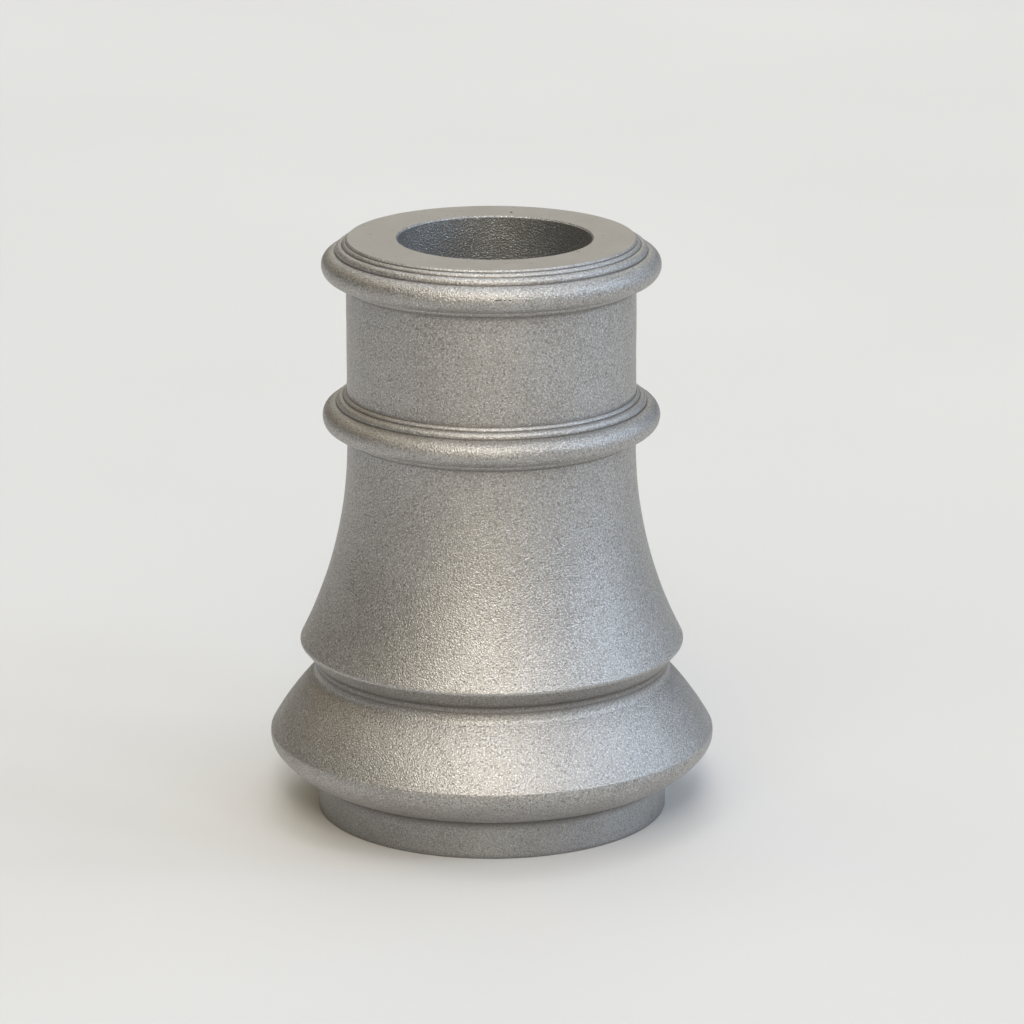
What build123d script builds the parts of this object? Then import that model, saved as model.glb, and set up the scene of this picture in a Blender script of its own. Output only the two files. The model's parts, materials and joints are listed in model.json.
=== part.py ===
from build123d import *
import os
from math import atan2, cos, degrees, pi, radians, sin

# A hollow stanchion base, cast in one piece, with its clamp screws and deck inserts.
# Millimetres. +Z is up, z = 0 is the deck, and the Z axis is the axis of the outside.
# The screws are at the back, which is +Y.

# ---------------------------------------------------------------- bore and overall height
BORE_R = 25.0               # cored hole for a stanchion tube of 48.3 outside diameter
CORE_SHIFT = 0.9            # the core stood this far to +X of the outside's axis
NECK_WALL = 12.35           # nominal wall between bore and neck
BODY_HEIGHT = 152.5         # deck to the machined top face
MOUTH_BREAK = 0.4           # edge break at both mouths of the bore
TOP_EDGE_BREAK = 0.35       # edge break round the machined top face

# ---------------------------------------------------------------- ring mouldings on the neck
RING_DROP = 6.85            # top face down to the middle of the top ring's bead
RING_PITCH = 39.75          # middle of one ring's bead to the middle of the other's
BEAD_R = 3.5                # radius of the half-round bead
BEAD_OUT = 2.85             # centre of the bead's section outside the neck
OVOLO_R = 1.3               # larger quarter round above the bead
OVOLO_LAND = 0.4            # short upright below it
OVOLO_OUT = 2.7             # how far it stands out from the neck
REED_R = 0.95               # small quarter round above the ovolo
FOOT_REED_R = 1.05          # small quarter round below the bead

# ---------------------------------------------------------------- bell and groove
BELL_LAND = 2.5             # plain neck between the lower ring and the bell
BELL_FLARE = 12.75          # bell's rim outside the neck
RIM_Z = 45.6                # height of the rim's widest point
RIM_NOSE_R = 1.0            # rounding of the rim
RIM_UNDERCUT = 42.0         # slope of the face under the rim, degrees from upright
GROOVE_DEPTH = 4.1          # rim down to the bottom of the groove
GROOVE_LAND = 1.5           # upright stretch at the bottom of the groove
GROOVE_FILLET = 0.7         # inner corners of the groove
SHOULDER_DROP = 2.3         # groove's upright stretch down to the foot's shoulder
SHOULDER_OUT = 0.5          # shoulder outside the bottom of the groove
SHOULDER_FILLET = 0.8

# ---------------------------------------------------------------- foot and plinth
FOOT_SWELL = 8.0            # foot's widest point outside the bell's rim
FOOT_Z = 20.5               # height of the foot's widest point
FOOT_NOSE_R = 5.6           # rounding at the foot's widest point
FOOT_NOSE_UP = 31.0         # degrees that it turns through above the widest point
FOOT_NOSE_DOWN = 39.0       # degrees that it turns through below it
PLINTH_INSET = 12.4         # plinth inside the foot's widest point
PLINTH_HEIGHT = 9.9
PLINTH_FILLET = 0.7         # cast fillet where the plinth meets the foot
PLINTH_EDGE_R = 0.5         # rounding where the plinth meets the deck

# ---------------------------------------------------------------- clamp screws in the neck's back
CLAMP_ANGLE = 35.0          # each screw's axis, degrees to the side of +Y
THREAD_R = 4.0              # M8
THREAD_PITCH = 1.25
THREAD_DEPTH = 0.6
THREAD_CREST = 0.25         # flat left between two turns of the thread
THREAD_CLEARANCE = 0.05     # radial, screw in insert
CLAMP_INSERT_R = 6.0        # outside of the thread inserts
PASSAGE_CLEARANCE = 0.2     # radial, screw in the plain hole through to the bore
PASSAGE_LENGTH = 3.4        # plain hole between the bore and the insert
INSERT_RECESS = 0.5         # insert's outer end below the thinnest part of the neck
INSERT_CHAMFER = 0.5
SLOT_WIDTH = 1.6            # driving slot across each insert's outer end
SLOT_DEPTH = 1.0
CUT_BEYOND = 0.5            # each screw hole's cut, past the thickest part of the neck
SCREW_SHY = 0.1             # screw's outer end inside the insert's outer end, at rest
SCREW_CHAMFER = 0.5
HEX_ACROSS_FLATS = 4.0
HEX_DEPTH = 3.2
PAD_R = 3.2
PAD_THICKNESS = 2.2
PAD_RETREAT = 0.6           # pad's face outside the bore's wall, at rest
PAD_CHAMFER = 0.4
PAD_GAP = 0.1               # pad to the screw's end
STEM_R = 1.3                # pad's neck inside the screw
STEM_LENGTH = 2.5
STEM_BEAD_R = 1.7           # end of the neck that keeps the pad on the screw
STEM_BEAD_LENGTH = 0.8
STEM_CLEARANCE = 0.05       # radial, pad's neck in the screw, and at the ends of its bead

# ---------------------------------------------------------------- deck inserts in the plinth
DECK_INSERTS = 4
DECK_INSERT_R = 6.0
DECK_INSERT_LENGTH = 14.0
DECK_THREAD_R = 3.4         # M8 before tapping
DECK_THREAD_LENGTH = 12.0
DECK_FIRST_ANGLE = 45.0

# ---------------------------------------------------------------- worked out from the above
NECK_R = BORE_R + NECK_WALL
RIM_R = NECK_R + BELL_FLARE
GROOVE_R = RIM_R - GROOVE_DEPTH
FOOT_R = RIM_R + FOOT_SWELL
PLINTH_R = FOOT_R - PLINTH_INSET
TOP_RING_Z = BODY_HEIGHT - RING_DROP
LOWER_RING_Z = TOP_RING_Z - RING_PITCH
RING_BOTTOM = BEAD_R + FOOT_REED_R
RING_TOP = BEAD_R + OVOLO_LAND + OVOLO_R + REED_R
CLAMP_Z = (TOP_RING_Z + LOWER_RING_Z) / 2
CLAMP_SIDES = {"left": 90 + CLAMP_ANGLE, "right": 90 - CLAMP_ANGLE}
PASSAGE_R = THREAD_R + PASSAGE_CLEARANCE
CLAMP_INSERT_START = BORE_R + PASSAGE_LENGTH
CLAMP_INSERT_END = NECK_R - CORE_SHIFT - INSERT_RECESS
PAD_FACE = BORE_R + PAD_RETREAT
PAD_BACK = PAD_FACE + PAD_THICKNESS
SCREW_START = PAD_BACK + PAD_GAP
SCREW_END = CLAMP_INSERT_END - SCREW_SHY
DECK_CIRCLE_R = (BORE_R + PLINTH_R) / 2


def polar(centre, radius, angle):
    """The point of a circle at an angle in degrees."""
    return (centre[0] + radius * cos(radians(angle)), centre[1] + radius * sin(radians(angle)))


def arc(centre, radius, start, end):
    """The arc of a circle from one angle to another, in degrees."""
    return CenterArc(centre, radius, start, end - start)


def rod(radius, start, end):
    """A cylinder along the local Z axis, between two heights."""
    return Pos(0, 0, start) * Cylinder(radius, end - start, align=(Align.CENTER, Align.CENTER, Align.MIN))


def bevelled_rod(radius, start, end, start_bevel=0.0, end_bevel=0.0):
    """A cylinder along the local Z axis with chamfered ends."""
    body = rod(radius, start, end)
    rims = body.edges().filter_by(GeomType.CIRCLE).sort_by(Axis.Z)
    if start_bevel:
        body = chamfer(rims[0], start_bevel)
    if end_bevel:
        rims = body.edges().filter_by(GeomType.CIRCLE).sort_by(Axis.Z)
        body = chamfer(rims[-1], end_bevel)
    return body


# ---------------------------------------------------------------- the casting's outline, in (radius, height)
def ring_moulding(middle):
    """A ring from its lowest point on the neck to its highest: reed, bead, ovolo and reed."""
    bead = (NECK_R + BEAD_OUT, middle)
    ovolo = (NECK_R + OVOLO_OUT - OVOLO_R, middle + BEAD_R + OVOLO_LAND)
    reed_z = middle + BEAD_R + OVOLO_LAND + OVOLO_R
    return [
        arc((NECK_R, middle - BEAD_R), FOOT_REED_R, -90, 0),
        Line((NECK_R + FOOT_REED_R, middle - BEAD_R), polar(bead, BEAD_R, -90)),
        arc(bead, BEAD_R, -90, 90),
        Line(polar(bead, BEAD_R, 90), (NECK_R + OVOLO_OUT, middle + BEAD_R)),
        Line((NECK_R + OVOLO_OUT, middle + BEAD_R), polar(ovolo, OVOLO_R, 0)),
        arc(ovolo, OVOLO_R, 0, 90),
        Line(polar(ovolo, OVOLO_R, 90), (NECK_R + REED_R, reed_z)),
        arc((NECK_R, reed_z), REED_R, 0, 90),
    ]


def neck_outline():
    """The neck from the bell's top to the machined face, with both rings."""
    bell_top = LOWER_RING_Z - RING_BOTTOM - BELL_LAND
    return [
        Line((NECK_R, bell_top), (NECK_R, LOWER_RING_Z - RING_BOTTOM)),
        *ring_moulding(LOWER_RING_Z),
        Line((NECK_R, LOWER_RING_Z + RING_TOP), (NECK_R, TOP_RING_Z - RING_BOTTOM)),
        *ring_moulding(TOP_RING_Z),
        Line((NECK_R, TOP_RING_Z + RING_TOP), (NECK_R, BODY_HEIGHT - TOP_EDGE_BREAK)),
        Line((NECK_R, BODY_HEIGHT - TOP_EDGE_BREAK), (NECK_R - TOP_EDGE_BREAK, BODY_HEIGHT)),
    ]


def groove_corners():
    """The groove's corners, from the foot's shoulder up to the face under the rim."""
    rim = polar((RIM_R - RIM_NOSE_R, RIM_Z), RIM_NOSE_R, -RIM_UNDERCUT)
    top = rim[1] - (rim[0] - GROOVE_R) * cos(radians(RIM_UNDERCUT)) / sin(radians(RIM_UNDERCUT))
    bottom = top - GROOVE_LAND
    shoulder = (GROOVE_R + SHOULDER_OUT, bottom - SHOULDER_DROP)
    return shoulder, (GROOVE_R, bottom), (GROOVE_R, top), rim


def bell_outline():
    """The face under the rim, the rounded rim and the bell, which leaves the neck tangentially."""
    rim = (RIM_R - RIM_NOSE_R, RIM_Z)
    height = LOWER_RING_Z - RING_BOTTOM - BELL_LAND - RIM_Z
    inset = NECK_R - rim[0]
    bell_r = (height**2 + inset**2 - RIM_NOSE_R**2) / (2 * (RIM_NOSE_R - inset))
    bell = (NECK_R + bell_r, RIM_Z + height)
    turn = degrees(atan2(height, bell[0] - rim[0]))
    return [
        arc(rim, RIM_NOSE_R, -RIM_UNDERCUT, turn),
        arc(bell, bell_r, 180 + turn, 180),
    ]


def foot_outline():
    """The plinth and the foot up to its shoulder."""
    nose = (FOOT_R - FOOT_NOSE_R, FOOT_Z)
    low = polar(nose, FOOT_NOSE_R, -FOOT_NOSE_DOWN)
    high = polar(nose, FOOT_NOSE_R, FOOT_NOSE_UP)
    plinth_edge = (PLINTH_R - PLINTH_EDGE_R, PLINTH_EDGE_R)
    shoulder = groove_corners()[0]
    return [
        arc(plinth_edge, PLINTH_EDGE_R, -90, 0),
        Line((PLINTH_R, PLINTH_EDGE_R), (PLINTH_R, PLINTH_HEIGHT)),
        TangentArc(low, (PLINTH_R, PLINTH_HEIGHT), tangent=polar((0, 0), 1, -90 - FOOT_NOSE_DOWN)),
        arc(nose, FOOT_NOSE_R, -FOOT_NOSE_DOWN, FOOT_NOSE_UP),
        TangentArc(high, shoulder, tangent=polar((0, 0), 1, 90 + FOOT_NOSE_UP)),
    ]


def body_section():
    """Half of the casting's section, solid to the axis."""
    shoulder, groove_bottom, groove_top, rim_low = groove_corners()
    outline = [
        Line((0, 0), (PLINTH_R - PLINTH_EDGE_R, 0)),
        *foot_outline(),
        Line(shoulder, groove_bottom),
        Line(groove_bottom, groove_top),
        Line(groove_top, rim_low),
        *bell_outline(),
        *neck_outline(),
        Line((NECK_R - TOP_EDGE_BREAK, BODY_HEIGHT), (0, BODY_HEIGHT)),
        Line((0, BODY_HEIGHT), (0, 0)),
    ]
    section = make_face(outline)
    rounded = [
        ((PLINTH_R, PLINTH_HEIGHT), PLINTH_FILLET),
        (shoulder, SHOULDER_FILLET),
        (groove_bottom, GROOVE_FILLET),
        (groove_top, GROOVE_FILLET),
    ]
    for corner, radius in rounded:
        nearest = section.vertices().sort_by_distance(Vector(*corner, 0))[0]
        section = fillet(nearest, radius)
    return section


# ---------------------------------------------------------------- clamp screws: local Z runs out along the axis
def clamp_plane(angle):
    """A plane on the bore's axis whose local Z points outwards along a screw."""
    outwards = (cos(radians(angle)), sin(radians(angle)), 0)
    return Plane(origin=(CORE_SHIFT, 0, CLAMP_Z), x_dir=(0, 0, 1), z_dir=outwards)


def clamp_hole():
    """What is cut from the casting for one screw."""
    beyond = NECK_R + CORE_SHIFT + CUT_BEYOND
    hole = rod(CLAMP_INSERT_R, CLAMP_INSERT_START, beyond)
    return hole + rod(PASSAGE_R, BORE_R - PASSAGE_LENGTH, CLAMP_INSERT_START)


def clamp_insert():
    """A stainless thread insert with a driving slot across its outer end."""
    sleeve = bevelled_rod(CLAMP_INSERT_R, CLAMP_INSERT_START, CLAMP_INSERT_END, end_bevel=INSERT_CHAMFER)
    sleeve -= rod(THREAD_R + THREAD_CLEARANCE, CLAMP_INSERT_START, CLAMP_INSERT_END)
    slot = Pos(0, 0, CLAMP_INSERT_END) * Box(SLOT_WIDTH, 2 * CLAMP_INSERT_R, 2 * SLOT_DEPTH)
    return sleeve - slot


def thread_groove(height):
    """One turn of thread, as a V groove round the screw."""
    half = (THREAD_PITCH - THREAD_CREST) / 2
    root = (THREAD_R - THREAD_DEPTH, height)
    lip = THREAD_R + THREAD_CLEARANCE
    section = make_face(Polyline((lip, height - half), root, (lip, height + half), close=True))
    return revolve(Plane.XZ * section, Axis.Z)


def clamp_screw():
    """A socket set screw with a pocket in its tip for the pad's neck."""
    screw = bevelled_rod(THREAD_R, SCREW_START, SCREW_END, SCREW_CHAMFER, SCREW_CHAMFER)
    turns = int((SCREW_END - SCREW_START - 2 * SCREW_CHAMFER) / THREAD_PITCH)
    first = (SCREW_START + SCREW_END - (turns - 1) * THREAD_PITCH) / 2
    for turn in range(turns):
        screw -= thread_groove(first + turn * THREAD_PITCH)
    hex_corner_r = HEX_ACROSS_FLATS / 2 / cos(pi / 6)
    screw -= extrude(Pos(0, 0, SCREW_END) * RegularPolygon(hex_corner_r, 6), -HEX_DEPTH)
    bead_start = PAD_BACK + STEM_LENGTH - STEM_BEAD_LENGTH - STEM_CLEARANCE
    bead_end = PAD_BACK + STEM_LENGTH + STEM_CLEARANCE
    screw -= rod(STEM_R + STEM_CLEARANCE, SCREW_START, bead_start)
    return screw - rod(STEM_BEAD_R + STEM_CLEARANCE, bead_start, bead_end)


def clamp_pad():
    """A brass pad that bears on the stanchion tube, held on the screw by a beaded neck."""
    pad = bevelled_rod(PAD_R, PAD_FACE, PAD_BACK, start_bevel=PAD_CHAMFER)
    pad += rod(STEM_R, PAD_BACK, PAD_BACK + STEM_LENGTH)
    return pad + rod(STEM_BEAD_R, PAD_BACK + STEM_LENGTH - STEM_BEAD_LENGTH, PAD_BACK + STEM_LENGTH)


# ---------------------------------------------------------------- deck inserts
def deck_places():
    """Where each deck insert stands on its circle."""
    step = 360 / DECK_INSERTS
    angles = [DECK_FIRST_ANGLE + step * number for number in range(DECK_INSERTS)]
    return [Pos(*polar((0, 0), DECK_CIRCLE_R, angle), 0) for angle in angles]


def deck_insert():
    """A blind stainless thread insert, flush with the plinth's underside."""
    return rod(DECK_INSERT_R, 0, DECK_INSERT_LENGTH) - rod(DECK_THREAD_R, 0, DECK_THREAD_LENGTH)


# ---------------------------------------------------------------- the casting
def mouth_cone(wide_z, narrow_z):
    """The broken edge at one mouth of the bore, widest at the face."""
    section = make_face(
        Polyline((0, wide_z), (BORE_R + MOUTH_BREAK, wide_z), (BORE_R, narrow_z), (0, narrow_z), close=True)
    )
    return revolve(Plane.XZ * section, Axis.Z)


def bore_core():
    """What the core left open: the bore, with a broken edge at each mouth."""
    core = rod(BORE_R, 0, BODY_HEIGHT) + mouth_cone(0, MOUTH_BREAK)
    return Pos(CORE_SHIFT, 0, 0) * (core + mouth_cone(BODY_HEIGHT, BODY_HEIGHT - MOUTH_BREAK))


def body_casting():
    """The one-piece casting with its bore and every hole for an insert or a screw."""
    casting = revolve(Plane.XZ * body_section(), Axis.Z) - bore_core()
    for angle in CLAMP_SIDES.values():
        casting -= clamp_plane(angle) * clamp_hole()
    for place in deck_places():
        casting -= place * rod(DECK_INSERT_R, 0, DECK_INSERT_LENGTH)
    return casting


def assembly():
    """Every node's name and its shape."""
    nodes = {"body_casting": body_casting()}
    for side, angle in CLAMP_SIDES.items():
        nodes[f"clamp_insert_{side}"] = clamp_plane(angle) * clamp_insert()
        nodes[f"clamp_screw_{side}"] = clamp_plane(angle) * clamp_screw()
        nodes[f"clamp_pad_{side}"] = clamp_plane(angle) * clamp_pad()
    for number, place in enumerate(deck_places(), start=1):
        nodes[f"deck_insert_{number}"] = place * deck_insert()
    return nodes


os.makedirs("parts", exist_ok=True)
for name, shape in assembly().items():
    shape.label = name
    export_step(shape, f"parts/{name}.step")
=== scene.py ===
"""A cast aluminium stanchion base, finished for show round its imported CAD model.

The casting is turned from one outline, as its pattern was, then drilled for its
inserts. The clamp screws, their pads and the thread inserts keep their CAD shapes
and get their finishes here. Everything is in metres, in the CAD model's own frame.
"""

import json
import logging
from dataclasses import dataclass, field
from enum import Enum
from math import atan2, cos, pi, radians, sin, sqrt, tan
from typing import Any

import bmesh
import bpy
from mathutils import Matrix, Vector, noise

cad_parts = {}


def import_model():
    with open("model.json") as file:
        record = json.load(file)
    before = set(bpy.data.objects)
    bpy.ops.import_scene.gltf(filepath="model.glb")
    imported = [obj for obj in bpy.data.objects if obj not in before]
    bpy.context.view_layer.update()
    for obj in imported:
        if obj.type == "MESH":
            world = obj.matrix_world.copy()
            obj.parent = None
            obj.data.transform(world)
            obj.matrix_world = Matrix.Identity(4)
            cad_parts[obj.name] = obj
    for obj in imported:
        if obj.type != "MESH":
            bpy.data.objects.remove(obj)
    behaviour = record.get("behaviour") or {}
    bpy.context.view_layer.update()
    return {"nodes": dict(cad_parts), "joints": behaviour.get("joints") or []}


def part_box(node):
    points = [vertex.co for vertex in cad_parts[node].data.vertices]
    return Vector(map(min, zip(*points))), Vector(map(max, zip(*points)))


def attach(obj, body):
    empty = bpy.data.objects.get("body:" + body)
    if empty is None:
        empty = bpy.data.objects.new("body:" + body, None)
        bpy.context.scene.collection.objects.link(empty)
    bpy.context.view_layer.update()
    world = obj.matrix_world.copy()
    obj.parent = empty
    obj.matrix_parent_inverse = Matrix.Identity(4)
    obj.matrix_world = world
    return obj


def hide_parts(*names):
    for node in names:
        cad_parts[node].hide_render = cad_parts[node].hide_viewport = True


frame: dict[str, Any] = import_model()
LOG = logging.getLogger("stanchion_base")
MM = 0.001
# where the top ring's bead has small pits in the cast skin
BEAD_PITS = (
    (1.3 * MM, -43.6 * MM, 146.30 * MM),
    (1.9 * MM, -43.6 * MM, 146.45 * MM),
    (2.5 * MM, -43.6 * MM, 146.50 * MM),
    (3.6 * MM, -43.6 * MM, 146.40 * MM),
    (4.8 * MM, -43.6 * MM, 146.40 * MM),
)


class Skin(Enum):
    """The kinds of surface that the casting shows, as its material slots in order."""

    CAST = 0
    PLINTH = 1
    MACHINED = 2
    CORED = 3
    DRILLED = 4


# ---------------------------------------------------------------- finishes
class NodeSheet:
    """One material's nodes, with short calls for what the finishes share."""

    def __init__(self, name: str) -> None:
        """Starts a material with a Principled surface.

        Args:
            name: The material's name.
        """
        self.material = bpy.data.materials.new(name)
        self.material.use_nodes = True
        self.nodes = self.material.node_tree.nodes
        self.links = self.material.node_tree.links
        self.surface = self.nodes["Principled BSDF"]
        self.place = self.nodes.new("ShaderNodeTexCoord").outputs["Object"]

    def put(self, socket: Any, value: Any) -> None:
        """Gives a socket either a number or another node's output."""
        if isinstance(value, bpy.types.NodeSocket):
            self.links.new(value, socket)
        else:
            socket.default_value = value

    def stretched(self, scale: tuple[float, float, float]) -> Any:
        """The object's coordinates with each axis scaled by itself."""
        node = self.nodes.new("ShaderNodeMapping")
        self.put(node.inputs["Vector"], self.place)
        node.inputs["Scale"].default_value = scale
        return node.outputs["Vector"]

    def cloud(self, grain: float, detail: float = 2.0, place: Any = None) -> Any:
        """Soft random patches.

        Args:
            grain: Size of a patch in metres.
            detail: How many finer layers are laid over it.
            place: The coordinates to read, if not the object's own.

        Returns:
            The output socket, from 0 to 1.
        """
        node = self.nodes.new("ShaderNodeTexNoise")
        self.put(node.inputs["Vector"], place or self.place)
        node.inputs["Scale"].default_value = 1.0 / grain
        node.inputs["Detail"].default_value = detail
        return node.outputs["Fac"]

    def pebbles(self, size: float, smooth: float = 0.6) -> Any:
        """Rounded cells, as shot leaves them.

        Args:
            size: Distance between neighbouring cells in metres.
            smooth: How softly one cell runs into the next.

        Returns:
            The distance from each cell's middle.
        """
        node = self.nodes.new("ShaderNodeTexVoronoi")
        node.feature = "SMOOTH_F1"
        self.put(node.inputs["Vector"], self.place)
        node.inputs["Scale"].default_value = 1.0 / size
        node.inputs["Smoothness"].default_value = smooth
        return node.outputs["Distance"]

    def flaw(self, centre: tuple[float, ...], size: tuple[float, ...]) -> Any:
        """One small blemish at a fixed place on the piece.

        Args:
            centre: Its middle, in metres.
            size: How far it reaches along each axis, in metres.

        Returns:
            The output socket: 1 in its middle, 0 outside it.
        """
        node = self.nodes.new("ShaderNodeMapping")
        self.put(node.inputs["Vector"], self.place)
        node.inputs["Scale"].default_value = tuple(1.0 / reach for reach in size)
        node.inputs["Location"].default_value = tuple(-at / reach for at, reach in zip(centre, size))
        far = self.nodes.new("ShaderNodeVectorMath")
        far.operation = "LENGTH"
        self.put(far.inputs[0], node.outputs["Vector"])
        return self.ramp(far.outputs["Value"], 1.0, 0.6)

    def ramp(self, value: Any, low: float, high: float, start: float = 0.0, end: float = 1.0) -> Any:
        """Maps a stretch of one value smoothly onto another.

        Args:
            value: The socket to read.
            low: What becomes start.
            high: What becomes end.
            start: The result at low and below.
            end: The result at high and above.

        Returns:
            The output socket.
        """
        node = self.nodes.new("ShaderNodeMapRange")
        node.interpolation_type = "SMOOTHSTEP"
        for name, number in (("From Min", low), ("From Max", high), ("To Min", start), ("To Max", end)):
            node.inputs[name].default_value = number
        self.put(node.inputs["Value"], value)
        return node.outputs["Result"]

    def sums(self, operation: str, *values: Any) -> Any:
        """One step of arithmetic on sockets or numbers."""
        node = self.nodes.new("ShaderNodeMath")
        node.operation = operation
        for socket, value in zip(node.inputs, values):
            self.put(socket, value)
        return node.outputs["Value"]

    def blend(self, share: Any, first: Any, second: Any) -> Any:
        """Mixes two colours by a share from 0 to 1."""
        node = self.nodes.new("ShaderNodeMix")
        node.data_type = "RGBA"
        self.put(node.inputs["Factor"], share)
        self.put(node.inputs[6], first)
        self.put(node.inputs[7], second)
        return node.outputs[2]

    def relief(self, height: Any, depth: float, strength: float = 1.0, under: Any = None) -> Any:
        """A bumpy surface.

        Args:
            height: The relief, from 0 to 1.
            depth: Its depth in metres.
            strength: How much of it shows.
            under: Another relief that this one lies on.

        Returns:
            The socket of the new surface normal.
        """
        node = self.nodes.new("ShaderNodeBump")
        node.inputs["Distance"].default_value = depth
        node.inputs["Strength"].default_value = strength
        self.put(node.inputs["Height"], height)
        if under is not None:
            self.put(node.inputs["Normal"], under)
        return node.outputs["Normal"]

    def attribute(self, name: str) -> Any:
        """A value stored on the mesh."""
        node = self.nodes.new("ShaderNodeAttribute")
        node.attribute_name = name
        return node.outputs["Fac"]


Colour = tuple[float, float, float, float]


def grey(light: float, warmth: float = 0.0) -> Colour:
    """A metal's grey, warmed towards red or, below nought, cooled towards blue.

    Args:
        light: How light it is, from 0 to 1.
        warmth: The share by which red is raised and blue lowered.

    Returns:
        The colour.
    """
    return (light * (1.0 + warmth), light, light * (1.0 - warmth), 1.0)


@dataclass(frozen=True)
class CastSkin:
    """Sand-cast aluminium, shot-blasted and left as it is."""

    name: str = "cast_skin"
    light: Colour = grey(0.415, 0.035)
    dark: Colour = grey(0.375, 0.045)
    # Painted shade for the relief's low spots.
    hollow_shade: Colour = grey(0.19, 0.03)
    # Painted highlight for the relief's high spots.
    peak_highlight: Colour = grey(0.68, 0.0)
    # Dirt and painted shade in crevices and pits, and the painted contact shadow at the deck edge.
    dirt_and_shade: Colour = grey(0.15, 0.08)
    # Rubbed edges, lightened with painted sheen.
    rub_and_sheen_colour: Colour = grey(0.55, 0.0)
    glint: Colour = grey(0.85)
    flaw: Colour = grey(0.05, 0.1)
    mottle: float = 14 * MM
    pit: float = 2.2 * MM
    # Size of the painted glints.
    glint_size: float = 0.6 * MM
    pebble: float = 0.55 * MM
    pebble_depth: float = 0.16 * MM
    grit: float = 0.24 * MM
    grit_depth: float = 0.05 * MM
    roughness: float = 0.50
    flaws: tuple[tuple[float, float, float], ...] = ()
    flaw_size: tuple[float, float, float] = (0.45 * MM, 2.0 * MM, 0.17 * MM)

    def build(self) -> bpy.types.Material:
        """Makes the mottled metal under a pebbly relief, with pits, painted glints, painted shade in the
        relief's low spots, a painted highlight on its high spots, dirt with painted shade in crevices, and
        rubbed edges with painted sheen.

        Returns:
            The material.
        """
        sheet = NodeSheet(self.name)
        pebbles = sheet.pebbles(self.pebble, 0.5)
        lumps = sheet.cloud(self.pebble * 0.66, 1.5)
        grit = sheet.cloud(self.grit, 1.0)
        mottle = sheet.cloud(self.mottle, 3.0)
        pits = sheet.ramp(sheet.cloud(self.pit, 1.0), 0.20, 0.14)
        glint_spots = sheet.ramp(sheet.cloud(self.glint_size, 0.0), 0.77, 0.84)
        relief = sheet.sums("SUBTRACT", lumps, sheet.sums("MULTIPLY", pebbles, 0.5))
        relief = sheet.sums("SUBTRACT", relief, sheet.sums("MULTIPLY", pits, 0.4))
        normal = sheet.relief(relief, self.pebble_depth)
        normal = sheet.relief(grit, self.grit_depth, under=normal)
        colour = sheet.blend(sheet.ramp(mottle, 0.30, 0.70), self.dark, self.light)
        # Painted shade: the relief's low spots are darkened towards a dark grey.
        colour = sheet.blend(sheet.ramp(relief, 0.16, -0.02, 0.0, 0.7), colour, self.hollow_shade)
        # Painted highlight: the relief's high spots are lightened towards a pale grey.
        colour = sheet.blend(sheet.ramp(relief, 0.26, 0.48, 0.0, 0.7), colour, self.peak_highlight)
        # Dirt and painted shade: crevices darkened, with a painted contact shadow along the deck edge, read
        # from the mesh.
        colour = sheet.blend(sheet.sums("MULTIPLY", sheet.attribute("dirt_and_shade"), 0.85), colour, self.dirt_and_shade)
        # Rubbed edges with painted sheen: convex edges are lightened.
        colour = sheet.blend(sheet.sums("MULTIPLY", sheet.attribute("rub_and_sheen"), 0.35), colour, self.rub_and_sheen_colour)
        # Dirt and painted shade in the pits: they are darkened with the same dark grey.
        colour = sheet.blend(sheet.sums("MULTIPLY", pits, 0.45), colour, self.dirt_and_shade)
        # Painted glints: small random spots lightened towards near white.
        colour = sheet.blend(sheet.sums("MULTIPLY", glint_spots, 0.3), colour, self.glint)
        for centre in self.flaws:
            colour = sheet.blend(sheet.flaw(centre, self.flaw_size), colour, self.flaw)
        rough = sheet.ramp(grit, 0.25, 0.75, self.roughness - 0.07, self.roughness + 0.09)
        rough = sheet.sums("SUBTRACT", rough, sheet.sums("MULTIPLY", glint_spots, 0.14))
        sheet.put(sheet.surface.inputs["Base Color"], colour)
        sheet.put(sheet.surface.inputs["Roughness"], rough)
        sheet.put(sheet.surface.inputs["Normal"], normal)
        sheet.surface.inputs["Metallic"].default_value = 1.0
        return sheet.material


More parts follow.
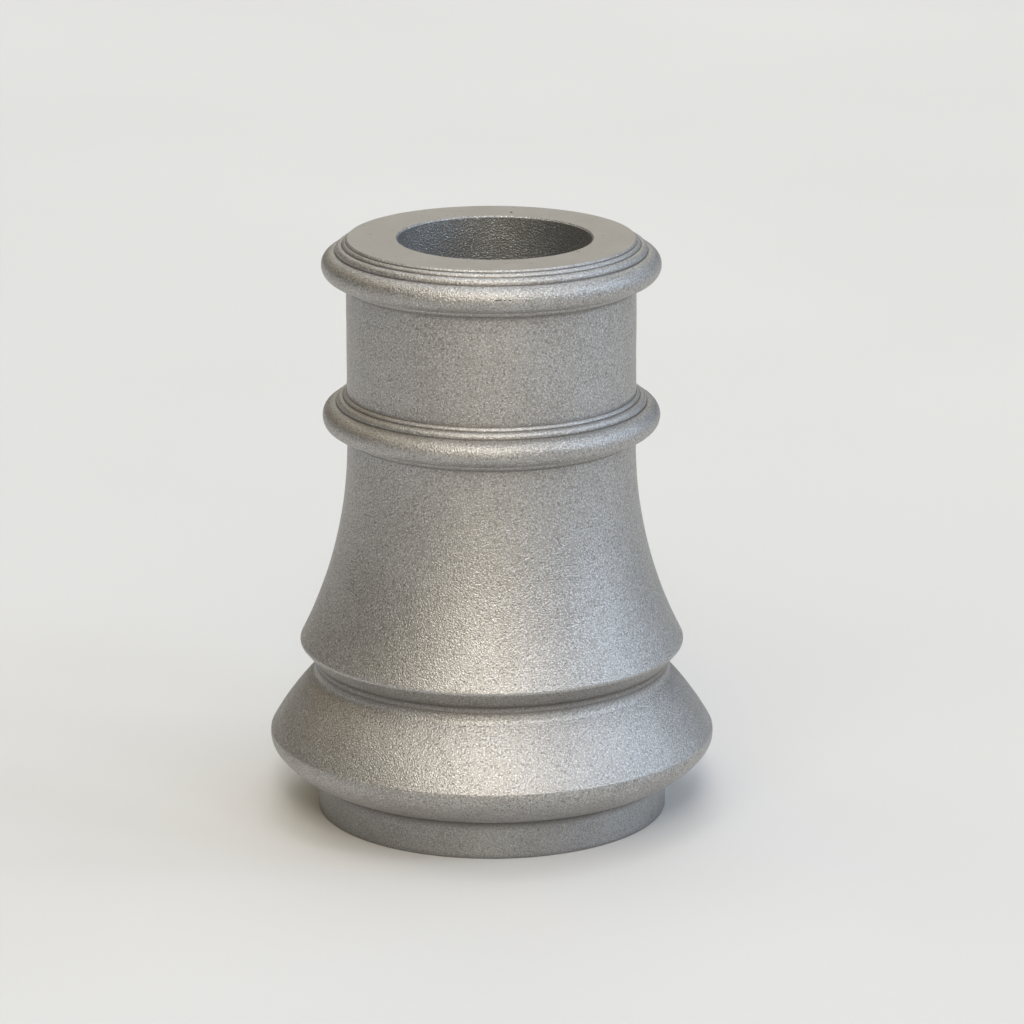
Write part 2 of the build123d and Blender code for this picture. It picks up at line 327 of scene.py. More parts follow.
@dataclass(frozen=True)
class MachinedFace:
    """Aluminium faced and linished flat, with fine straight scratches."""

    name: str = "machined_face"
    light: Colour = grey(0.40, 0.05)
    dark: Colour = grey(0.375, 0.06)
    roughness: float = 0.50
    scratch: Colour = grey(0.7)
    nicked: Colour = grey(0.25, 0.05)
    nick_colour: Colour = grey(0.07, 0.05)
    nick: tuple[float, float, float] = (5.1 * MM, 29.2 * MM, 152.5 * MM)
    nick_size: tuple[float, float, float] = (0.45 * MM, 0.9 * MM, 1.0 * MM)

    def build(self) -> bpy.types.Material:
        """Makes fine scratches one way, some across them, scattered nicks and one larger nick.

        Returns:
            The material.
        """
        sheet = NodeSheet(self.name)
        fine = sheet.cloud(0.12 * MM, 2.0, sheet.stretched((0.04, 1.0, 1.0)))
        cross = sheet.cloud(0.3 * MM, 1.0, sheet.stretched((1.0, 0.03, 1.0)))
        patches = sheet.cloud(7 * MM, 3.0)
        nicks = sheet.ramp(sheet.cloud(1.3 * MM, 0.0), 0.20, 0.15)
        normal = sheet.relief(fine, 0.006 * MM)
        normal = sheet.relief(cross, 0.004 * MM, under=normal)
        normal = sheet.relief(nicks, -0.03 * MM, under=normal)
        colour = sheet.blend(sheet.ramp(patches, 0.3, 0.7), self.dark, self.light)
        colour = sheet.blend(sheet.ramp(fine, 0.3, 0.7, 0.0, 0.2), colour, self.scratch)
        colour = sheet.blend(nicks, colour, self.nicked)
        nick = sheet.flaw(self.nick, self.nick_size)
        colour = sheet.blend(nick, colour, self.nick_colour)
        sheet.put(sheet.surface.inputs["Base Color"], colour)
        rough = sheet.ramp(patches, 0.3, 0.7, self.roughness - 0.02, self.roughness + 0.03)
        sheet.put(sheet.surface.inputs["Roughness"], rough)
        sheet.put(sheet.surface.inputs["Normal"], normal)
        sheet.surface.inputs["Metallic"].default_value = 1.0
        return sheet.material


@dataclass(frozen=True)
class CoredWall:
    """The bore as the sand core left it: coarse, dull and darker."""

    name: str = "cored_wall"
    light: Colour = grey(0.42, 0.0)
    dark: Colour = grey(0.26, 0.03)
    glint: Colour = grey(0.85)
    grain: float = 0.5 * MM
    depth: float = 0.15 * MM
    roughness: float = 0.55

    def build(self) -> bpy.types.Material:
        """Makes the coarse sand grain with glinting points.

        Returns:
            The material.
        """
        sheet = NodeSheet(self.name)
        lumps = sheet.cloud(self.grain, 4.0)
        pebbles = sheet.pebbles(self.grain * 0.8, 0.3)
        glints = sheet.ramp(sheet.cloud(0.42 * MM, 0.0), 0.68, 0.76)
        relief = sheet.sums("ADD", lumps, sheet.sums("MULTIPLY", pebbles, 0.6))
        colour = sheet.blend(sheet.ramp(lumps, 0.3, 0.7), self.dark, self.light)
        colour = sheet.blend(sheet.sums("MULTIPLY", glints, 0.7), colour, self.glint)
        sheet.put(sheet.surface.inputs["Base Color"], colour)
        sheet.put(sheet.surface.inputs["Normal"], sheet.relief(relief, self.depth))
        rough = sheet.ramp(lumps, 0.3, 0.7, self.roughness + 0.1, self.roughness - 0.05)
        sheet.put(sheet.surface.inputs["Roughness"], rough)
        sheet.surface.inputs["Metallic"].default_value = 1.0
        return sheet.material


@dataclass(frozen=True)
class TurnedMetal:
    """Bar stock turned on a lathe, with fine tool marks and a little tarnish."""

    name: str
    light: Colour
    dark: Colour
    roughness: float = 0.3
    marks: float = 0.09 * MM

    def build(self) -> bpy.types.Material:
        """Makes the tool marks, tarnish in patches and small scratches.

        Returns:
            The material.
        """
        sheet = NodeSheet(self.name)
        marks = sheet.cloud(self.marks, 1.0)
        scratches = sheet.cloud(0.25 * MM, 2.0, sheet.stretched((1.0, 1.0, 0.08)))
        tarnish = sheet.cloud(1.8 * MM, 3.0)
        normal = sheet.relief(marks, 0.004 * MM)
        normal = sheet.relief(scratches, 0.006 * MM, under=normal)
        colour = sheet.blend(sheet.ramp(tarnish, 0.35, 0.68), self.light, self.dark)
        sheet.put(sheet.surface.inputs["Base Color"], colour)
        rough = sheet.ramp(tarnish, 0.3, 0.7, self.roughness - 0.04, self.roughness + 0.12)
        sheet.put(sheet.surface.inputs["Roughness"], rough)
        sheet.put(sheet.surface.inputs["Normal"], normal)
        sheet.surface.inputs["Metallic"].default_value = 1.0
        return sheet.material


# ---------------------------------------------------------------- the casting
class LatheOutline:
    """A line drawn in the XZ plane, one stretch after another, to be spun round an upright axis."""

    def __init__(self, bm: bmesh.types.BMesh, radius: float, height: float) -> None:
        """Starts the line.

        Args:
            bm: The mesh that the line is drawn in.
            radius: Distance of its first point from the Z axis.
            height: Height of its first point.
        """
        self.bm = bm
        self.tip = bm.verts.new((radius, 0.0, height))
        self.corners: list[tuple[Vector, float]] = []

    def line_to(self, radius: float, height: float, steps: int = 1) -> None:
        """Draws a straight stretch.

        Args:
            radius: Where it ends, from the Z axis.
            height: Where it ends, above the deck.
            steps: How many edges it has.
        """
        start = self.tip.co.copy()
        end = Vector((radius, 0.0, height))
        for step in range(1, steps + 1):
            self.tip = bmesh.ops.extrude_vert_indiv(self.bm, verts=[self.tip])["verts"][0]
            self.tip.co = start.lerp(end, step / steps)

    def arc(self, centre: tuple[float, float], turn: float, steps: int) -> None:
        """Carries the line round an arc.

        Args:
            centre: The arc's centre, as radius and height.
            turn: How far it turns, in radians, from +X towards +Z.
            steps: How many edges it has.
        """
        for _ in range(steps):
            made = bmesh.ops.spin(
                self.bm,
                geom=[self.tip],
                cent=(centre[0], 0.0, centre[1]),
                axis=(0.0, -1.0, 0.0),
                angle=turn / steps,
                steps=1,
                use_duplicate=False,
            )
            self.tip = next(g for g in made["geom_last"] if isinstance(g, bmesh.types.BMVert))

    def take_up(self) -> None:
        """Goes on from the line's upper end, which rounding may have remade."""
        self.tip = max((v for v in self.bm.verts if len(v.link_edges) == 1), key=lambda v: v.co.z)

    def corner(self, radius: float) -> None:
        """Marks the line's end as a corner that is rounded to a radius later."""
        self.corners.append((self.tip.co.copy(), radius))

    def points(self) -> list[bmesh.types.BMVert]:
        """The line's points in order, from its lower end."""
        ends = [v for v in self.bm.verts if len(v.link_edges) == 1]
        found = [min(ends, key=lambda v: v.co.z)]
        edge = found[0].link_edges[0]
        while True:
            found.append(edge.other_vert(found[-1]))
            onwards = [e for e in found[-1].link_edges if e is not edge]
            if not onwards:
                return found
            edge = onwards[0]

    def bends(self) -> list[tuple[bmesh.types.BMVert, float, float]]:
        """How far the line turns at each inner point, and over what length.

        Returns:
            The point, its turn in radians, positive towards the left, and half the
            length of its two edges together.
        """
        found = []
        points = self.points()
        for before, here, after in zip(points, points[1:], points[2:]):
            come, go = here.co - before.co, after.co - here.co
            turn = atan2(come.x * go.z - come.z * go.x, come.dot(go))
            found.append((here, turn, (come.length + go.length) / 2))
        return found

    def soften(self, edge_r: float) -> None:
        """Rounds the marked corners to their radii, and every other sharp one to a small radius.

        Args:
            edge_r: The radius of the corners that aren't marked.
        """
        rounded = [
            (point.co.copy(), abs(turn), self.radius_at(point.co) or edge_r)
            for point, turn, _ in self.bends()
            if self.radius_at(point.co) or abs(turn) > radians(24.0)
        ]
        for place, turn, radius in rounded:
            nearest = min(self.bm.verts, key=lambda v: (v.co - place).length)
            bmesh.ops.bevel(
                self.bm,
                geom=[nearest],
                affect="VERTICES",
                offset=radius * tan(turn / 2),
                offset_type="OFFSET",
                segments=3,
                profile=0.5,
                material=-1,
            )

    def radius_at(self, place: Vector) -> float:
        """Finds the rounding that a corner was marked with.

        Args:
            place: Where the corner is.

        Returns:
            Its radius, or nought where no corner is marked.
        """
        return next((radius for corner, radius in self.corners if (corner - place).length < 0.001 * MM), 0.0)


@dataclass
class Casting:
    """The one-piece casting, as sizes in metres and the steps that make it."""

    bore_r: float = 25.0 * MM
    core_shift: float = 0.9 * MM
    neck_r: float = 37.35 * MM
    mouth_break: float = 0.4 * MM
    top_edge_break: float = 0.35 * MM
    ring_drop: float = 6.85 * MM
    ring_pitch: float = 39.75 * MM
    bead_r: float = 3.5 * MM
    bead_out: float = 2.85 * MM
    ovolo_r: float = 1.3 * MM
    ovolo_land: float = 0.4 * MM
    ovolo_out: float = 2.7 * MM
    reed_r: float = 0.95 * MM
    foot_reed_r: float = 1.65 * MM
    bell_land: float = 1.9 * MM
    bell_flare: float = 12.75 * MM
    rim_z: float = 45.6 * MM
    rim_nose_r: float = 1.0 * MM
    rim_undercut: float = radians(42.0)
    groove_depth: float = 4.1 * MM
    groove_land: float = 1.5 * MM
    shoulder_drop: float = 2.3 * MM
    shoulder_out: float = 0.5 * MM
    foot_z: float = 20.5 * MM
    foot_nose_r: float = 5.6 * MM
    foot_nose_up: float = radians(10.0)
    foot_arris_r: float = 0.3 * MM
    foot_flank: float = radians(29.0)
    foot_nose_down: float = radians(39.0)
    plinth_inset: float = 12.4 * MM
    plinth_height: float = 9.9 * MM
    plinth_edge_r: float = 0.5 * MM
    insert_r: float = 6.0 * MM
    insert_start: float = 28.4 * MM
    passage_r: float = 4.2 * MM
    deck_insert_length: float = 14.0 * MM
    plinth_fillet: float = 0.7 * MM
    shoulder_fillet: float = 2.2 * MM
    groove_fillet: float = 0.7 * MM
    edge_r: float = 0.13 * MM
    # How far dirt and painted shade spread from a crevice: in the groove, under a bead, on a step.
    groove_dirt_and_shade_reach: float = 2.0 * MM
    bead_dirt_and_shade_reach: float = 0.65 * MM
    step_dirt_and_shade_reach: float = 0.3 * MM
    # The painted contact shadow along the deck edge: its strength and how high it reaches.
    deck_contact_shadow: float = 1.5
    deck_contact_shadow_reach: float = 0.4 * MM
    turns: int = 224
    cutter_turns: int = 64
    skins: dict[Skin, bpy.types.Material] = field(default_factory=dict)

    def __post_init__(self) -> None:
        """Takes the overall sizes from the frame."""
        self.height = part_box("body_casting")[1].z
        self.foot_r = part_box("body_casting")[1].x
        self.rim_r = self.neck_r + self.bell_flare
        self.groove_r = self.rim_r - self.groove_depth
        self.plinth_r = self.foot_r - self.plinth_inset
        self.top_ring_z = self.height - self.ring_drop
        self.lower_ring_z = self.top_ring_z - self.ring_pitch
        self.ring_bottom = self.bead_r + self.foot_reed_r
        self.ring_top = self.bead_r + self.ovolo_land + self.ovolo_r + self.reed_r

    # ------------------------------------------------------------ outline
    def ring(self, line: LatheOutline, middle: float) -> None:
        """Draws one ring upwards: reed, bead, ovolo and reed.

        Args:
            line: The outline, at the ring's lowest point on the neck.
            middle: Height of the middle of the bead.
        """
        neck = self.neck_r
        bead = (neck + self.bead_out, middle)
        land = middle + self.bead_r
        ovolo_z = land + self.ovolo_land
        reed_z = ovolo_z + self.ovolo_r
        line.arc((neck, land - 2 * self.bead_r), pi / 2, 7)
        line.line_to(bead[0], land - 2 * self.bead_r, 3)
        line.arc(bead, pi, 24)
        line.line_to(neck + self.ovolo_out, land)
        line.line_to(neck + self.ovolo_out, ovolo_z)
        line.arc((neck + self.ovolo_out - self.ovolo_r, ovolo_z), pi / 2, 8)
        line.line_to(neck + self.reed_r, reed_z)
        line.arc((neck, reed_z), pi / 2, 7)

    def tangent_arc(
        self, line: LatheOutline, heading: float, end: tuple[float, float], steps: int
    ) -> None:
        """Draws an arc that leaves in one direction and reaches a point.

        Args:
            line: The outline, at the arc's start.
            heading: The direction that it leaves in, in radians from +X towards +Z.
            end: Where it ends, as radius and height.
            steps: How many edges it has.
        """
        across, up = end[0] - line.tip.co.x, end[1] - line.tip.co.z
        half_turn = atan2(up, across) - heading
        half_turn = atan2(sin(half_turn), cos(half_turn))
        arc_r = sqrt(across**2 + up**2) / 2 / sin(half_turn)
        centre = (line.tip.co.x - arc_r * sin(heading), line.tip.co.z + arc_r * cos(heading))
        line.arc(centre, 2 * half_turn, steps)

    def foot(self, line: LatheOutline) -> tuple[float, float]:
        """Draws the plinth, the bowl under the foot, its nose and its flank.

        Args:
            line: The outline, on the deck at the plinth's edge.

        Returns:
            The foot's shoulder, as radius and height.
        """
        line.arc((self.plinth_r - self.plinth_edge_r, self.plinth_edge_r), pi / 2, 5)
        line.line_to(self.plinth_r, self.plinth_height, 12)
        line.corner(self.plinth_fillet)
        nose = (self.foot_r - self.foot_nose_r, self.foot_z)
        low = (
            nose[0] + self.foot_nose_r * cos(self.foot_nose_down),
            nose[1] - self.foot_nose_r * sin(self.foot_nose_down),
        )
        self.bowl(line, low)
        line.arc(nose, self.foot_nose_down + self.foot_nose_up, 12)
        line.corner(self.foot_arris_r)
        groove_low, _ = self.groove_ends()
        shoulder = (self.groove_r + self.shoulder_out, groove_low - self.shoulder_drop)
        self.tangent_arc(line, pi / 2 + self.foot_flank, shoulder, 26)
        line.corner(self.shoulder_fillet)
        return shoulder

    def bowl(self, line: LatheOutline, low: tuple[float, float]) -> None:
        """Draws the bowl from the plinth out to the foot's nose, which it meets smoothly.

        Args:
            line: The outline, at the plinth's upper corner.
            low: The lower end of the nose, as radius and height.
        """
        across, up = low[0] - line.tip.co.x, low[1] - line.tip.co.z
        chord = atan2(up, across)
        arrival = pi / 2 - self.foot_nose_down
        self.tangent_arc(line, 2 * chord - arrival, low, 20)

    def groove_ends(self) -> tuple[float, float]:
        """The lower and the upper end of the groove's upright wall."""
        rim_low_r = self.rim_r - self.rim_nose_r + self.rim_nose_r * cos(self.rim_undercut)
        rim_low_z = self.rim_z - self.rim_nose_r * sin(self.rim_undercut)
        top = rim_low_z - (rim_low_r - self.groove_r) / tan(self.rim_undercut)
        return top - self.groove_land, top

    def bell(self, line: LatheOutline) -> None:
        """Draws the groove, the face under the rim, the rim and the bell up to the neck.

        Args:
            line: The outline, at the foot's shoulder.
        """
        groove_low, groove_top = self.groove_ends()
        nose = (self.rim_r - self.rim_nose_r, self.rim_z)
        line.line_to(self.groove_r, groove_low, 3)
        line.corner(self.groove_fillet)
        line.line_to(self.groove_r, groove_top, 3)
        line.corner(self.groove_fillet)
        under = (
            nose[0] + self.rim_nose_r * cos(self.rim_undercut),
            nose[1] - self.rim_nose_r * sin(self.rim_undercut),
        )
        line.line_to(under[0], under[1], 6)
        rise = self.lower_ring_z - self.ring_bottom - self.bell_land - self.rim_z
        inset = self.neck_r - nose[0]
        bell_r = (rise**2 + inset**2 - self.rim_nose_r**2) / (2 * (self.rim_nose_r - inset))
        centre = (self.neck_r + bell_r, self.rim_z + rise)
        turn = atan2(rise, centre[0] - nose[0])
        line.arc(nose, self.rim_undercut + turn, 10)
        line.arc(centre, -turn, 52)

    def outside(self, bm: bmesh.types.BMesh) -> LatheOutline:
        """Draws the whole outside, from the deck to the machined face.

        Args:
            bm: The mesh to draw in.

        Returns:
            The outline.
        """
        line = LatheOutline(bm, self.plinth_r - self.plinth_edge_r, 0.0)
        self.foot(line)
        self.bell(line)
        line.line_to(self.neck_r, self.lower_ring_z - self.ring_bottom, 3)
        self.ring(line, self.lower_ring_z)
        line.line_to(self.neck_r, self.top_ring_z - self.ring_bottom, 26)
        self.ring(line, self.top_ring_z)
        line.line_to(self.neck_r, self.height - self.top_edge_break)
        line.line_to(self.neck_r - self.top_edge_break, self.height)
        return line

    def bore(self, line: LatheOutline) -> None:
        """Draws the machined face, the bore with its broken edges and the underside, back to the start.

        Args:
            line: The softened outline of the outside, which ends at the machined face.
        """
        mouth = self.bore_r + self.mouth_break
        line.take_up()
        line.line_to(mouth, self.height, 3)
        line.line_to(self.bore_r, self.height - self.mouth_break, 2)
        line.line_to(self.bore_r, self.mouth_break, 60)
        line.line_to(mouth, 0.0)
        line.line_to(self.plinth_r - self.plinth_edge_r, 0.0, 3)

    # ------------------------------------------------------------ mesh
    def grade(self, bm: bmesh.types.BMesh, line: LatheOutline) -> None:
        """Marks where the outline's edges are rubbed and carry painted sheen, and where it holds dirt and
        painted shade: in its crevices, and as a painted contact shadow along the deck edge.

        Args:
            bm: The mesh that holds the outline.
            line: The outline.
        """
        rub_and_sheen = bm.verts.layers.float.new("rub_and_sheen")
        dirt_and_shade = bm.verts.layers.float.new("dirt_and_shade")
        crevices = []
        for vert, turn, length in line.bends():
            curve = turn * MM / length
            # Rubbed edges with painted sheen: lighter the more sharply the outline bends outwards.
            vert[rub_and_sheen] = min(1.0, max(0.0, (curve - 0.35) / 1.2))
            # Crevices: inward corners, around which dirt and painted shade spread.
            if curve < -0.6:
                crevices.append((vert.co.copy(), self.dirt_and_shade_reach(vert.co.z)))
        for vert in bm.verts:
            depth = max(1.0 - (vert.co - co).length / reach for co, reach in crevices)
            # Painted contact shadow: darkest at the deck, gone within a fraction of a millimetre.
            deck = self.deck_contact_shadow - vert.co.z / self.deck_contact_shadow_reach
            vert[dirt_and_shade] = min(1.0, max(0.0, max(0.0, depth) ** 2, deck))

    def dirt_and_shade_reach(self, height: float) -> float:
        """How far the dirt and painted shade spread from a crevice at this height.

        Args:
            height: The crevice's height above the deck.

        Returns:
            The distance: far in the groove, little under a bead, least on the steps above one.
        """
        if height < self.rim_z:
            return self.groove_dirt_and_shade_reach
        ring_z = self.top_ring_z
        if height < self.lower_ring_z + self.ring_bottom * 2:
            ring_z = self.lower_ring_z
        return self.bead_dirt_and_shade_reach if height < ring_z else self.step_dirt_and_shade_reach

    def spin(self, bm: bmesh.types.BMesh) -> None:
        """Spins the outline into a closed body, then moves the core sideways.

        Args:
            bm: The mesh that holds the outline.
        """
        bmesh.ops.spin(
            bm,
            geom=list(bm.verts) + list(bm.edges),
            cent=(0.0, 0.0, 0.0),
            axis=(0.0, 0.0, 1.0),
            angle=2 * pi,
            steps=self.turns,
            use_merge=True,
            use_duplicate=False,
        )
        bmesh.ops.remove_doubles(bm, verts=bm.verts, dist=0.001 * MM)
        core = [v for v in bm.verts if v.co.xy.length < self.bore_r + self.mouth_break + 0.01 * MM]
        bmesh.ops.translate(bm, vec=(self.core_shift, 0.0, 0.0), verts=core)
        bmesh.ops.recalc_face_normals(bm, faces=bm.faces)

    def roughen(self, bm: bmesh.types.BMesh) -> None:
        """Moves the cast skin in and out by a few hundredths, as a sand mould does.

        Args:
            bm: The closed mesh.
        """
        bm.normal_update()
        moves = []
        for vert in bm.verts:
            end = min(vert.co.z, self.height - vert.co.z)
            out = Vector((vert.co.x - self.core_shift, vert.co.y)).length - self.bore_r
            cored = out < 1.0 * MM
            hold = min(1.0, max(0.0, (end - 0.1 * MM) / (1.2 * MM)))
            swell = noise.noise(vert.co / (11 * MM)) * (0.10 if cored else 0.07)
            lump = noise.noise(vert.co / (3.1 * MM) + Vector((7, 3, 5))) * (0.11 if cored else 0.035)
            moves.append((vert, vert.normal * (swell + lump) * MM * hold))
        for vert, move in moves:
            vert.co += move

    def cutter(self, name: str, bm: bmesh.types.BMesh, place: Matrix) -> bpy.types.Object:
        """Makes a cutting body from a mesh drawn along Z.

        Args:
            name: The body's name.
            bm: The mesh, which is freed.
            place: Where it goes.

        Returns:
            The object.
        """
        bmesh.ops.transform(bm, matrix=place, verts=bm.verts)
        bmesh.ops.recalc_face_normals(bm, faces=bm.faces)
        mesh = bpy.data.meshes.new(name)
        bm.to_mesh(mesh)
        bm.free()
        body = bpy.data.objects.new(name, mesh)
        bpy.context.scene.collection.objects.link(body)
        return body

    def stepped_cutter(self, name: str, steps: list[tuple[float, float]], place: Matrix) -> bpy.types.Object:
        """A turned cutter, drawn as radius and distance along its axis, closed at both ends.

        Args:
            name: The cutter's name.
            steps: Its outline between the ends.
            place: Where it goes.

        Returns:
            The object.
        """
        bm = bmesh.new()
        line = LatheOutline(bm, 0.0, steps[0][1])
        for radius, along in steps:
            line.line_to(radius, along)
        line.line_to(0.0, steps[-1][1])
        bmesh.ops.spin(
            bm,
            geom=list(bm.verts) + list(bm.edges),
            cent=(0.0, 0.0, 0.0),
            axis=(0.0, 0.0, 1.0),
            angle=2 * pi,
            steps=self.cutter_turns,
            use_merge=True,
            use_duplicate=False,
        )
        bmesh.ops.remove_doubles(bm, verts=bm.verts, dist=0.001 * MM)
        return self.cutter(name, bm, place)

    def cutters(self) -> list[bpy.types.Object]:
        """Makes one cutter for each screw hole and each deck insert.

        Returns:
            The cutters.
        """
        made = []
        for joint in frame["joints"]:
            if joint["type"] != "hinge":
                continue
            outwards = -Vector(joint["axis"])
            pivot = Vector((self.core_shift, 0.0, joint["pos_m"][2]))
            turn = outwards.to_track_quat("Z", "Y").to_matrix().to_4x4()
            surface = self.neck_depth(outwards)
            steps = [
                (self.passage_r, self.bore_r - 3 * MM),
                (self.passage_r, self.insert_start),
                (self.insert_r, self.insert_start),
                (self.insert_r, surface - 0.8 * MM),
                (self.insert_r + 2.8 * MM, surface + 2 * MM),
            ]
            made.append(self.stepped_cutter(joint["name"] + "_cut", steps, Matrix.Translation(pivot) @ turn))
        for name in sorted(frame["nodes"]):
            if name.startswith("deck_insert"):
                low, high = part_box(name)
                steps = [(self.insert_r, -1 * MM), (self.insert_r, self.deck_insert_length)]
                place = Matrix.Translation(((low.x + high.x) / 2, (low.y + high.y) / 2, 0.0))
                made.append(self.stepped_cutter(name + "_cut", steps, place))
        return made

    def neck_depth(self, outwards: Vector) -> float:
        """Measures from the bore's axis to the neck's surface.

        Args:
            outwards: The level direction to measure along.

        Returns:
            The distance.
        """
        along = outwards.x * self.core_shift
        return -along + sqrt(along**2 + self.neck_r**2 - self.core_shift**2)

    def drill(self, body: bpy.types.Object) -> None:
        """Cuts every hole from the casting.

        Args:
            body: The casting, which is changed.
        """
        tools = self.cutters()
        for tool in tools:
            cut = body.modifiers.new(tool.name, "BOOLEAN")
            cut.object = tool
            cut.operation = "DIFFERENCE"
            cut.solver = "MANIFOLD"
        graph = bpy.context.evaluated_depsgraph_get()
        drilled = bpy.data.meshes.new_from_object(body.evaluated_get(graph))
        body.modifiers.clear()
        old, body.data = body.data, drilled
        bpy.data.meshes.remove(old)
        for tool in tools:
            bpy.data.objects.remove(tool)

    def sort_skins(self, mesh: bpy.types.Mesh) -> None:
        """Gives every face the skin that its place calls for.

        Args:
            mesh: The finished mesh.
        """
        plinth_core = self.plinth_r - 1.2 * MM
        for polygon in mesh.polygons:
            middle = polygon.center
            out = Vector((middle.x - self.core_shift, middle.y)).length
            radius = Vector((middle.x, middle.y)).length
            skin = Skin.CAST
            if abs(polygon.normal.z) > 0.99 and (middle.z < 0.01 * MM or middle.z > self.height - 0.01 * MM):
                skin = Skin.MACHINED
            elif out < self.bore_r + 0.6 * MM:
                skin = Skin.CORED
            elif radius > self.plinth_r - 0.8 * MM and middle.z < self.plinth_height + 0.4 * MM:
                skin = Skin.PLINTH
            elif radius < self.neck_r - 0.3 * MM or (radius < plinth_core and middle.z < self.plinth_height):
                skin = Skin.DRILLED
            polygon.material_index = skin.value

    def build(self) -> bpy.types.Object:
        """Makes the casting.

        Returns:
            The finished piece, riding on its body.
        """
        bm = bmesh.new()
        line = self.outside(bm)
        line.soften(self.edge_r)
        self.grade(bm, line)
        self.bore(line)
        self.spin(bm)
        self.roughen(bm)
        mesh = bpy.data.meshes.new("casting")
        bm.to_mesh(mesh)
        bm.free()
        body = bpy.data.objects.new("casting", mesh)
        bpy.context.scene.collection.objects.link(body)
        self.drill(body)
        self.dress(body)
        LOG.info("casting: %d faces", len(body.data.polygons))
        return body

    def dress(self, body: bpy.types.Object) -> None:
        """Shades the casting, gives it its skins and ties it to the frame.

        Args:
            body: The drilled casting.
        """
        mesh = body.data
        mesh.shade_smooth()
        mesh.set_sharp_from_angle(angle=radians(38.0))
        mesh.materials.clear()
        for skin in Skin:
            mesh.materials.append(self.skins[skin])
        self.sort_skins(mesh)
        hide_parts("body_casting")
        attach(body, "base")


# ---------------------------------------------------------------- fittings
@dataclass
class Fittings:
    """The thread inserts, clamp screws and pads, which keep their CAD shapes."""

    stainless: TurnedMetal
    screw_steel: TurnedMetal
    brass: TurnedMetal

    def dress(self) -> None:
        """Gives each fitting its finish."""
        finishes = {
            "clamp_insert": self.stainless.build(),
            "deck_insert": self.stainless.build(),
            "clamp_screw": self.screw_steel.build(),
            "clamp_pad": self.brass.build(),
        }
        for name, node in sorted(frame["nodes"].items()):
            for kind, finish in finishes.items():
                if name.startswith(kind):
                    node.material_slots[0].material = finish
                    LOG.info("%s: %s", name, finish.name)


# ---------------------------------------------------------------- studio
@dataclass(frozen=True)
class SoftLight:
    """A large soft lamp, far away, with its angles in degrees.

    Azimuth 0 is in front of the casting, where the camera stands, and 90 is to its right.
    """

    name: str
    azimuth: float
    elevation: float
    spread: float
    strength: float
    colour: tuple[float, float, float]

    def build(self) -> bpy.types.Object:
        """Makes the lamp, pointing at the casting.

        Returns:
            The lamp.
        """
        lamp = bpy.data.lights.new(self.name, "SUN")
        lamp.energy = self.strength
        lamp.angle = radians(self.spread)
        lamp.color = self.colour
        light = bpy.data.objects.new(self.name, lamp)
        bpy.context.scene.collection.objects.link(light)
        away = Vector((
            sin(radians(self.azimuth)) * cos(radians(self.elevation)),
            -cos(radians(self.azimuth)) * cos(radians(self.elevation)),
            sin(radians(self.elevation)),
        ))
        light.rotation_euler = away.to_track_quat("Z", "Y").to_euler()
        return light


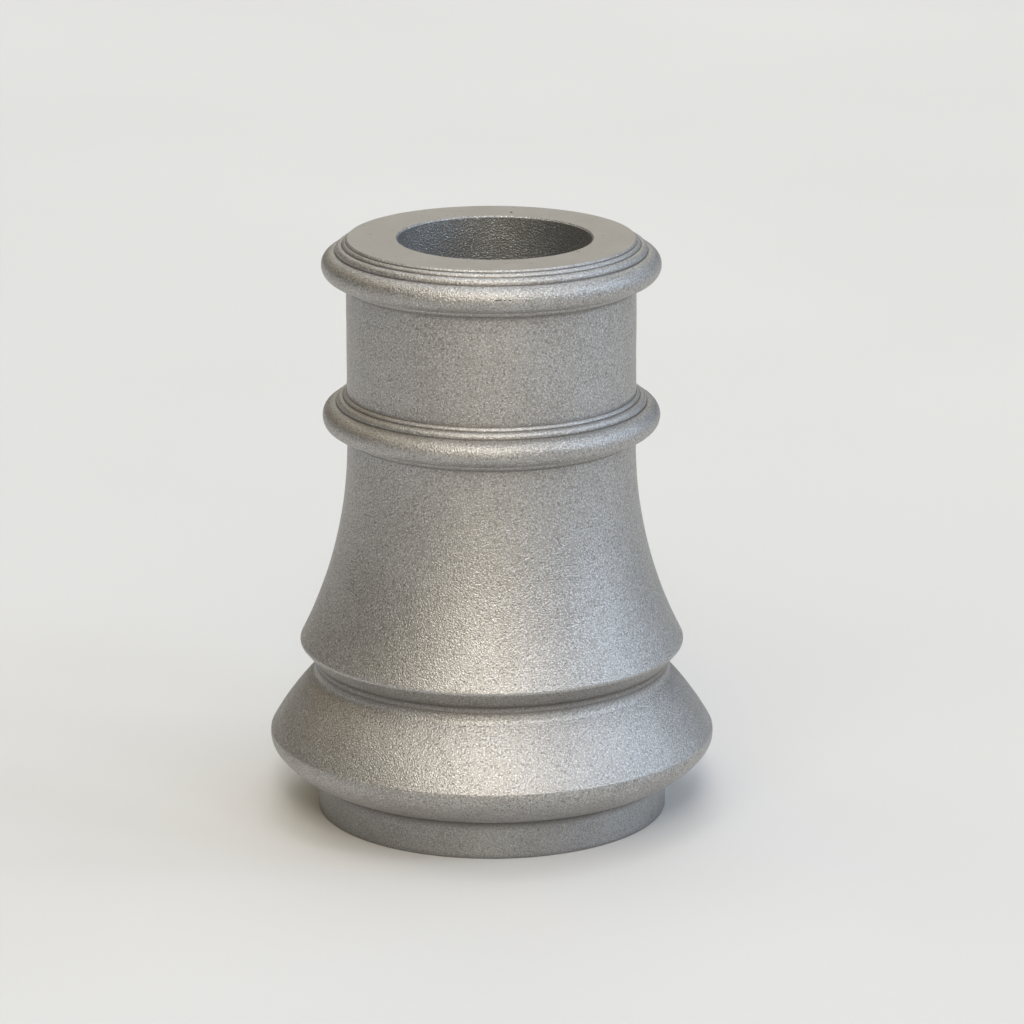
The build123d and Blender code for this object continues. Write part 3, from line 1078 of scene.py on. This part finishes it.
@dataclass
class Studio:
    """The floor, the lamps, the room's own light and the camera.

    The lamps' directions and spreads were chosen. Their strengths and colours were not:
    another program fitted them and wrote the table.
    """

    floor_r: float = 30.0
    camera_place: tuple[float, float, float] = (0.0053, -1.2804, 0.4457)
    camera_pitch: float = 15.97
    lens: float = 180.0
    room: tuple[float, float, float] = (0.02, 0.02, 0.02)
    beyond_floor: Colour = (0.78, 0.77, 0.76, 1.0)
    floor_light: Colour = (0.60, 0.595, 0.59, 1.0)
    floor_lighter: Colour = (0.62, 0.615, 0.61, 1.0)
    lamps: tuple[SoftLight, ...] = (
        SoftLight("front_low", 0.0, 18.0, 40.0, 0.256, (1.00, 0.78, 0.39)),
        SoftLight("window_right", 80.0, 18.0, 40.0, 0.246, (0.67, 0.84, 1.00)),
        SoftLight("left_back", -120.0, 45.0, 40.0, 0.305, (1.00, 0.82, 0.55)),
        SoftLight("front_left", -25.0, 45.0, 40.0, 0.655, (1.00, 0.92, 0.72)),
        SoftLight("front_right", 25.0, 45.0, 40.0, 0.379, (0.96, 0.96, 1.00)),
        SoftLight("right_back", 120.0, 45.0, 40.0, 0.541, (0.76, 0.86, 1.00)),
        SoftLight("front_top", 0.0, 70.0, 36.0, 0.509, (1.00, 0.99, 0.98)),
        SoftLight("back_top", 180.0, 70.0, 36.0, 0.719, (0.86, 0.92, 1.00)),
        SoftLight("left_top", 270.0, 70.0, 36.0, 0.317, (0.99, 1.00, 0.91)),
        SoftLight("back_low", 180.0, 30.0, 40.0, 0.305, (1.00, 0.95, 0.80)),
        SoftLight("front_keen", 0.0, 45.0, 16.0, 0.546, (1.00, 0.96, 0.92)),
        SoftLight("window_edge", 95.0, 25.0, 14.0, 0.333, (0.70, 0.82, 1.00)),
        SoftLight("window_keen", 75.0, 30.0, 14.0, 0.380, (0.75, 0.87, 1.00)),
        SoftLight("right_front_keen", 50.0, 40.0, 14.0, 0.292, (0.79, 0.87, 1.00)),
        SoftLight("front_spot", 0.0, 35.0, 8.0, 0.493, (1.00, 0.95, 0.88)),
        SoftLight("window_low", 88.0, 12.0, 8.0, 0.171, (0.52, 0.72, 1.00)),
    )

    def floor(self) -> bpy.types.Object:
        """Makes a pale floor that runs out past what the camera sees.

        Returns:
            The floor.
        """
        bm = bmesh.new()
        bmesh.ops.create_circle(bm, cap_ends=True, segments=96, radius=self.floor_r)
        mesh = bpy.data.meshes.new("floor")
        bm.to_mesh(mesh)
        bm.free()
        floor = bpy.data.objects.new("floor", mesh)
        floor.location.z = -0.02 * MM
        bpy.context.scene.collection.objects.link(floor)
        sheet = NodeSheet("pale_floor")
        patches = sheet.cloud(0.4, 2.0)
        grain = sheet.cloud(1.2 * MM, 2.0)
        colour = sheet.blend(sheet.ramp(patches, 0.3, 0.7), self.floor_light, self.floor_lighter)
        sheet.put(sheet.surface.inputs["Base Color"], colour)
        sheet.put(sheet.surface.inputs["Normal"], sheet.relief(grain, 0.01 * MM))
        sheet.surface.inputs["Roughness"].default_value = 0.85
        sheet.surface.inputs["Specular IOR Level"].default_value = 0.1
        mesh.materials.append(sheet.material)
        return floor

    def room_light(self) -> None:
        """A dim even room, which looks pale where the camera sees past the floor."""
        world = bpy.data.worlds.new("room")
        bpy.context.scene.world = world
        world.use_nodes = True
        nodes, links = world.node_tree.nodes, world.node_tree.links
        nodes["Background"].inputs["Color"].default_value = (*self.room, 1.0)
        seen = nodes.new("ShaderNodeBackground")
        seen.inputs["Color"].default_value = self.beyond_floor
        pick = nodes.new("ShaderNodeMixShader")
        links.new(nodes.new("ShaderNodeLightPath").outputs["Is Camera Ray"], pick.inputs["Fac"])
        links.new(nodes["Background"].outputs["Background"], pick.inputs[1])
        links.new(seen.outputs["Background"], pick.inputs[2])
        links.new(pick.outputs["Shader"], nodes["World Output"].inputs["Surface"])

    def camera(self) -> None:
        """The camera, level from side to side and looking a little down."""
        data = bpy.data.cameras.new("camera")
        data.lens = self.lens
        data.sensor_width = 36.0
        data.clip_end = 100.0
        camera = bpy.data.objects.new("camera", data)
        camera.location = self.camera_place
        camera.rotation_euler = (radians(90.0 - self.camera_pitch), 0.0, 0.0)
        bpy.context.scene.collection.objects.link(camera)
        bpy.context.scene.camera = camera

    def build(self) -> None:
        """Sets the stage."""
        self.floor()
        self.room_light()
        for lamp in self.lamps:
            lamp.build()
        self.camera()
        settings = bpy.context.scene.view_settings
        settings.view_transform = "Standard"
        settings.look = "None"


def main() -> None:
    """Builds the casting, the fittings and the studio."""
    logging.basicConfig(level=logging.INFO, format="%(name)s: %(message)s")
    skins = {
        Skin.CAST: CastSkin(flaws=BEAD_PITS).build(),
        # The plinth's skin: a finer copy of the cast skin whose darker greys are partly painted shade under
        # the foot's overhang.
        Skin.PLINTH: CastSkin(
            name="plinth_shaded_skin",
            light=grey(0.38, 0.0),
            dark=grey(0.33, 0.01),
            peak_highlight=grey(0.56),
            pebble=0.45 * MM,
            pebble_depth=0.10 * MM,
        ).build(),
        Skin.MACHINED: MachinedFace().build(),
        Skin.CORED: CoredWall().build(),
        Skin.DRILLED: TurnedMetal("drilled_wall", grey(0.66, 0.01), grey(0.5, 0.02)).build(),
    }
    Casting(skins=skins).build()
    Fittings(
        stainless=TurnedMetal("stainless", grey(0.62, 0.0), grey(0.48, 0.01)),
        screw_steel=TurnedMetal("screw_steel", grey(0.5, 0.0), grey(0.36, 0.0), roughness=0.34),
        brass=TurnedMetal("brass", (0.80, 0.62, 0.30, 1.0), (0.58, 0.42, 0.20, 1.0)),
    ).dress()
    Studio().build()


if __name__ == "__main__":
    main()
